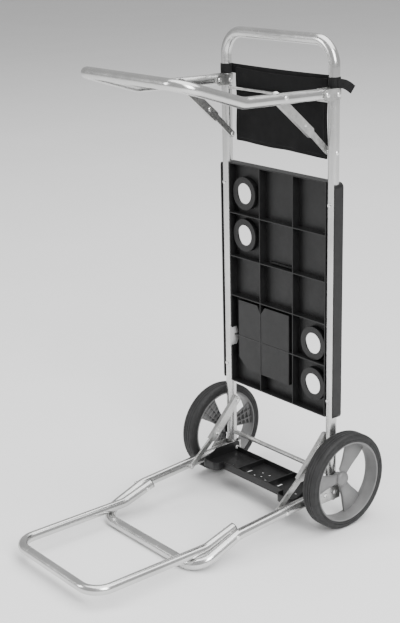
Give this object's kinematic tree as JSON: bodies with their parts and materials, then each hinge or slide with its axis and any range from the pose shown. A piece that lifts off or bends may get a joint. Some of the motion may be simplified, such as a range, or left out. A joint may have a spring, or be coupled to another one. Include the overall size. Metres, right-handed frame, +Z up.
{
  "type": "folding hand truck",
  "caption": "Two-wheeled folding hand truck with a moulded table back, a fold-down upper arm, a fold-up toe frame and a flip-out toe extension.",
  "frame": {"origin": "centre of the footprint on the ground, under the middle of the whole cart", "axes": "+Z up the uprights, -Y forward to the toe end, +X to the cart's left as seen from behind it"},
  "size_m": [0.423, 0.7001, 0.999],
  "materials": {
    "frame_tube": "silver, satin",
    "plated_steel": "zinc plated",
    "rivet_steel": "plated, bright",
    "black_plastic": "moulded, fine grain",
    "plug_plastic": "moulded",
    "grey_plastic": "moulded",
    "white_plastic": "moulded",
    "black_cloth": "close woven",
    "tyre_rubber": "solid, slightly worn",
    "rim_plastic": "moulded grey",
    "cap_plastic": "moulded"
  },
  "bodies": {
    "main_frame": {"left_upright": "frame_tube", "right_upright": "frame_tube", "top_bow": "frame_tube", "upright_plugs": "plug_plastic", "table_panel": "black_plastic", "panel_rivets": "rivet_steel", "turn_latch": "grey_plastic", "cross_rod": "plated_steel", "arm_bracket_left": "plated_steel", "arm_bracket_right": "plated_steel", "arm_bracket_rivets": "rivet_steel", "brace_pivot_rivets": "rivet_steel", "stay_pivot_rivets": "rivet_steel", "pouch": "black_cloth", "pouch_strap": "black_cloth", "axle": "plated_steel", "axle_spacers": "plug_plastic", "push_nuts": "plated_steel", "foot_bracket_left": "plated_steel", "foot_bracket_right": "plated_steel", "foot_bracket_rivets": "rivet_steel", "bottom_tray": "black_plastic"},
    "wheel_left": {"tyre_left": "tyre_rubber", "rim_left": "rim_plastic", "hub_cap_left": "cap_plastic"},
    "wheel_right": {"tyre_right": "tyre_rubber", "rim_right": "rim_plastic", "hub_cap_right": "cap_plastic"},
    "arm": {"arm_loop": "frame_tube", "arm_brace_rivets": "rivet_steel", "leg_button": "white_plastic"},
    "brace_upper_left": {"brace_channel_left": "plated_steel", "brace_knee_left": "rivet_steel"},
    "brace_upper_right": {"brace_channel_right": "plated_steel", "brace_knee_right": "rivet_steel"},
    "brace_lower_left": {"brace_bar_left": "plated_steel", "brace_stud_left": "rivet_steel"},
    "brace_lower_right": {"brace_bar_right": "plated_steel", "brace_stud_right": "rivet_steel"},
    "toe": {"toe_frame": "frame_tube", "stay_foot_rivets": "rivet_steel", "extension_rivets": "rivet_steel"},
    "extension": {"extension_loop": "frame_tube", "extension_plugs": "plug_plastic"},
    "stay_lower_left": {"stay_bar_left": "plated_steel"},
    "stay_lower_right": {"stay_bar_right": "plated_steel"},
    "stay_upper_left": {"stay_channel_left": "plated_steel", "stay_knee_left": "rivet_steel"},
    "stay_upper_right": {"stay_channel_right": "plated_steel", "stay_knee_right": "rivet_steel"}
  },
  "joints": [
    {"name": "wheel_left_spin", "type": "hinge", "parent": "main_frame", "child": "wheel_left", "pos_m": [-0.1935, 0.24805, 0.102], "axis": [1, 0, 0], "continuous": true},
    {"name": "wheel_right_spin", "type": "hinge", "parent": "main_frame", "child": "wheel_right", "pos_m": [0.1935, 0.24805, 0.102], "axis": [1, 0, 0], "continuous": true},
    {"name": "arm_fold", "type": "hinge", "parent": "main_frame", "child": "arm", "pos_m": [0, 0.21905, 0.891], "axis": [-1, 0, 0], "range_deg": [-88, 0]},
    {"name": "toe_fold", "type": "hinge", "parent": "main_frame", "child": "toe", "pos_m": [0, 0.22005, 0.066], "axis": [-1, 0, 0], "range_deg": [0, 84]},
    {"name": "extension_flip", "type": "hinge", "parent": "toe", "child": "extension", "pos_m": [0, -0.01595, 0.0508], "axis": [1, 0, 0], "range_deg": [-135, 0]},
    {"name": "brace_upper_left_hinge", "type": "hinge", "parent": "arm", "child": "brace_upper_left", "pos_m": [-0.14, 0.11505, 0.8965], "axis": [1, 0, 0], "range_deg": [-129.2, 0]},
    {"name": "brace_lower_left_hinge", "type": "hinge", "parent": "brace_upper_left", "child": "brace_lower_left", "pos_m": [-0.14, 0.18505, 0.8355], "axis": [1, 0, 0], "range_deg": [0, 158]},
    {"name": "stay_lower_left_hinge", "type": "hinge", "parent": "toe", "child": "stay_lower_left", "pos_m": [-0.14, 0.11605, 0.059], "axis": [1, 0, 0], "range_deg": [0, 127.6]},
    {"name": "stay_upper_left_hinge", "type": "hinge", "parent": "stay_lower_left", "child": "stay_upper_left", "pos_m": [-0.14, 0.18805, 0.118], "axis": [1, 0, 0], "range_deg": [-156.9, 0]},
    {"name": "brace_upper_right_hinge", "type": "hinge", "parent": "arm", "child": "brace_upper_right", "pos_m": [0.14, 0.11505, 0.8965], "axis": [1, 0, 0], "range_deg": [-129.2, 0]},
    {"name": "brace_lower_right_hinge", "type": "hinge", "parent": "brace_upper_right", "child": "brace_lower_right", "pos_m": [0.14, 0.18505, 0.8355], "axis": [1, 0, 0], "range_deg": [0, 158]},
    {"name": "stay_lower_right_hinge", "type": "hinge", "parent": "toe", "child": "stay_lower_right", "pos_m": [0.14, 0.11605, 0.059], "axis": [1, 0, 0], "range_deg": [0, 127.6]},
    {"name": "stay_upper_right_hinge", "type": "hinge", "parent": "stay_lower_right", "child": "stay_upper_right", "pos_m": [0.14, 0.18805, 0.118], "axis": [1, 0, 0], "range_deg": [-156.9, 0]}
  ],
  "couplings": [
    {"joint": "brace_upper_left_hinge", "follows": "arm_fold", "ratio": 1.4658},
    {"joint": "brace_lower_left_hinge", "follows": "arm_fold", "ratio": -1.7928},
    {"joint": "stay_lower_left_hinge", "follows": "toe_fold", "ratio": 1.5169},
    {"joint": "stay_upper_left_hinge", "follows": "toe_fold", "ratio": -1.866},
    {"joint": "brace_upper_right_hinge", "follows": "arm_fold", "ratio": 1.4658},
    {"joint": "brace_lower_right_hinge", "follows": "arm_fold", "ratio": -1.7928},
    {"joint": "stay_lower_right_hinge", "follows": "toe_fold", "ratio": 1.5169},
    {"joint": "stay_upper_right_hinge", "follows": "toe_fold", "ratio": -1.866}
  ]
}
